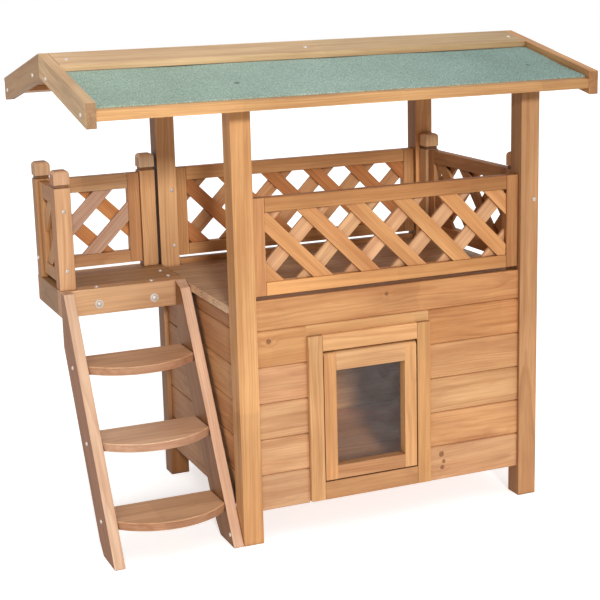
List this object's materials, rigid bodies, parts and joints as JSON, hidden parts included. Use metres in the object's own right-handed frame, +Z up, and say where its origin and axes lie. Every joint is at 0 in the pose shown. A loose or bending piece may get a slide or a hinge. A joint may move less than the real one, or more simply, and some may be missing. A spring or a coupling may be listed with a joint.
{
  "type": "cat house",
  "caption": "Raised wooden cat house: a boarded sleeping box with a swing door, a roofed balcony with lattice railings, a side landing, a ladder and a felted gable roof.",
  "frame": {"origin": "middle of the whole outline seen from above, at the height of the ground that the posts stand on", "axes": "+X along the roof ridge to the right as seen from the door side, +Y from the door side to the back, +Z up"},
  "size_m": [0.7914, 0.5, 0.729],
  "materials": {
    "golden_wood": "glazed softwood, satin",
    "honey_wood": "glazed softwood, satin",
    "pale_wood": "glazed softwood, satin",
    "brown_wood": "glazed softwood, satin",
    "roofing_felt": "mineral-faced bitumen felt, matt",
    "zinc_steel": "zinc plated",
    "clear_pane": "clear acrylic sheet"
  },
  "bodies": {
    "house": {"post_front_left": "golden_wood", "post_front_right": "golden_wood", "post_back_left": "honey_wood", "post_back_right": "honey_wood", "front_boards_left": "golden_wood", "front_boards_right": "golden_wood", "front_boards_top": "golden_wood", "left_wall_boards": "brown_wood", "right_wall_boards": "brown_wood", "back_wall_boards": "brown_wood", "floor_panel": "brown_wood", "door_jamb_left": "golden_wood", "door_jamb_right": "golden_wood", "door_head": "golden_wood", "door_sill": "golden_wood", "door_pivot_pins": "zinc_steel", "balcony_deck": "brown_wood", "front_railing_frame": "golden_wood", "front_railing_lattice": "pale_wood", "back_railing_frame": "honey_wood", "back_railing_lattice": "honey_wood", "right_railing_frame": "honey_wood", "right_railing_lattice": "honey_wood", "landing_back_frame": "honey_wood", "landing_back_lattice": "pale_wood", "landing_side_frame": "honey_wood", "landing_side_lattice": "honey_wood", "newel_right_front": "honey_wood", "newel_right_back": "honey_wood", "newel_landing_inner": "honey_wood", "newel_landing_back": "honey_wood", "newel_landing_front": "golden_wood", "landing_deck": "brown_wood", "landing_joists": "brown_wood", "landing_fascia_front": "golden_wood", "landing_fascia_left": "brown_wood", "landing_fascia_back": "brown_wood", "ladder_stringer_left": "pale_wood", "ladder_stringer_right": "pale_wood", "ladder_tread_1": "honey_wood", "ladder_tread_2": "honey_wood", "ladder_tread_3": "honey_wood", "eave_rails": "honey_wood", "ridge_purlins": "brown_wood", "roof_rafters": "brown_wood", "roof_sheets": "brown_wood", "roof_felt_front": "roofing_felt", "roof_felt_back": "roofing_felt", "barge_left_front": "golden_wood", "barge_left_back": "golden_wood", "barge_right_front": "golden_wood", "barge_right_back": "golden_wood", "ridge_boards": "golden_wood", "wood_screws": "zinc_steel", "landing_bolts": "zinc_steel"},
    "door": {"door_stile_left": "golden_wood", "door_stile_right": "golden_wood", "door_top_rail": "golden_wood", "door_bottom_rail": "golden_wood", "door_pane": "clear_pane"}
  },
  "joints": [
    {"name": "door_swing", "type": "hinge", "parent": "house", "child": "door", "pos_m": [0.0377, -0.1832, 0.2744], "axis": [1, 0, 0], "range_deg": [-90, 90]}
  ]
}
